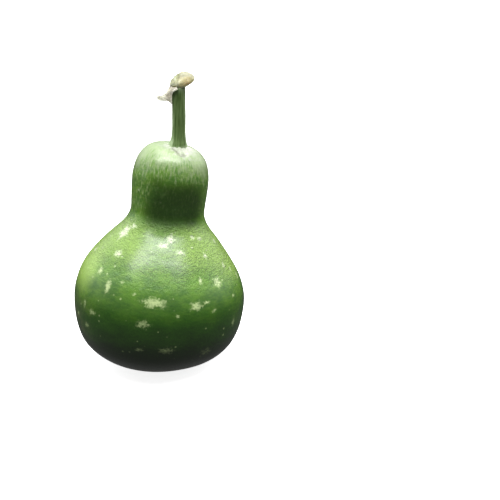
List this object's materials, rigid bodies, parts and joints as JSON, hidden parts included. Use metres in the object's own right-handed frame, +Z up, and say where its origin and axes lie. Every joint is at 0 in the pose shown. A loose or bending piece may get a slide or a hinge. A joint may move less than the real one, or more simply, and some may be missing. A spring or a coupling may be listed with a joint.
{
  "type": "bottle gourd",
  "caption": "Small speckled bottle gourd with a wide lower bulb, a short waist and a round upper bulb, standing on its base, with a ribbed stalk that ends in a dry torn heel.",
  "frame": {"origin": "on the surface that the gourd stands on, under the middle of its wide lower bulb", "axes": "+Z up along the standing gourd, +X to the right, the way that its upper bulb leans, +Y away from the viewer"},
  "size_m": [0.0987, 0.0989, 0.171],
  "materials": {
    "skin": "satin",
    "stalk": "satin",
    "dry_heel": "matte"
  },
  "bodies": {
    "root": {"fruit": "skin", "stalk": "stalk", "vine_heel": "dry_heel"}
  },
  "joints": []
}
